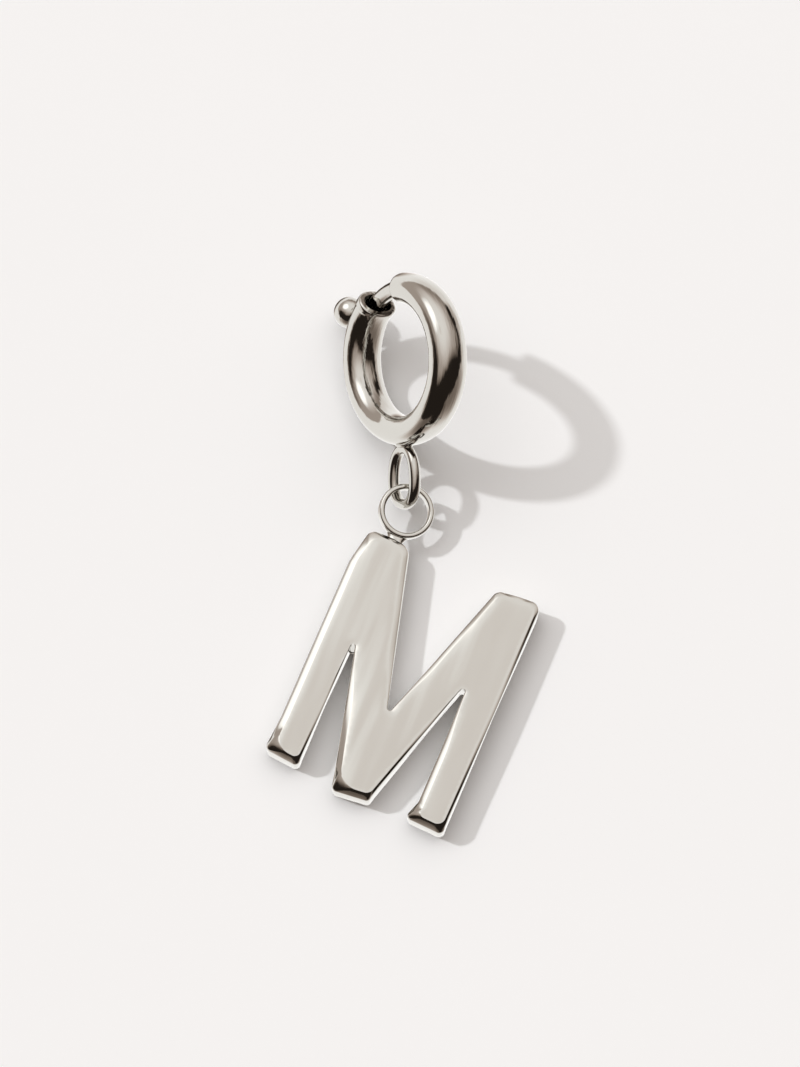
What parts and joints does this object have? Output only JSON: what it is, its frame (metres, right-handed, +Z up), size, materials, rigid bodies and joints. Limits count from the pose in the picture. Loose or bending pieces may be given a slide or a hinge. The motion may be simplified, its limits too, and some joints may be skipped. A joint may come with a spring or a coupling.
{
  "type": "initial pendant",
  "caption": "Polished metal letter M charm on a round spring ring clasp, lying flat with the clasp leaning on its edge.",
  "frame": {"origin": "middle of the bounding box, on the surface that the charm lies on", "axes": "+Z up from the surface, +Y from the letter to the clasp, +X to the right of the letter as it is read"},
  "size_m": [0.028, 0.058, 0.016],
  "materials": {
    "polished_metal": "polished"
  },
  "bodies": {
    "charm": {"clasp_ring": "polished_metal", "letter_m": "polished_metal"},
    "slider": {"bolt": "polished_metal"}
  },
  "joints": [
    {"name": "bolt_slide", "type": "hinge", "parent": "charm", "child": "slider", "pos_m": [0.00014, 0.02008, 0.00801], "axis": [-0.8008, -0.2146, 0.5592], "range_deg": [0, 42], "stiffness_Nm_per_rad": 0.0015, "springref_deg": -5.73}
  ]
}
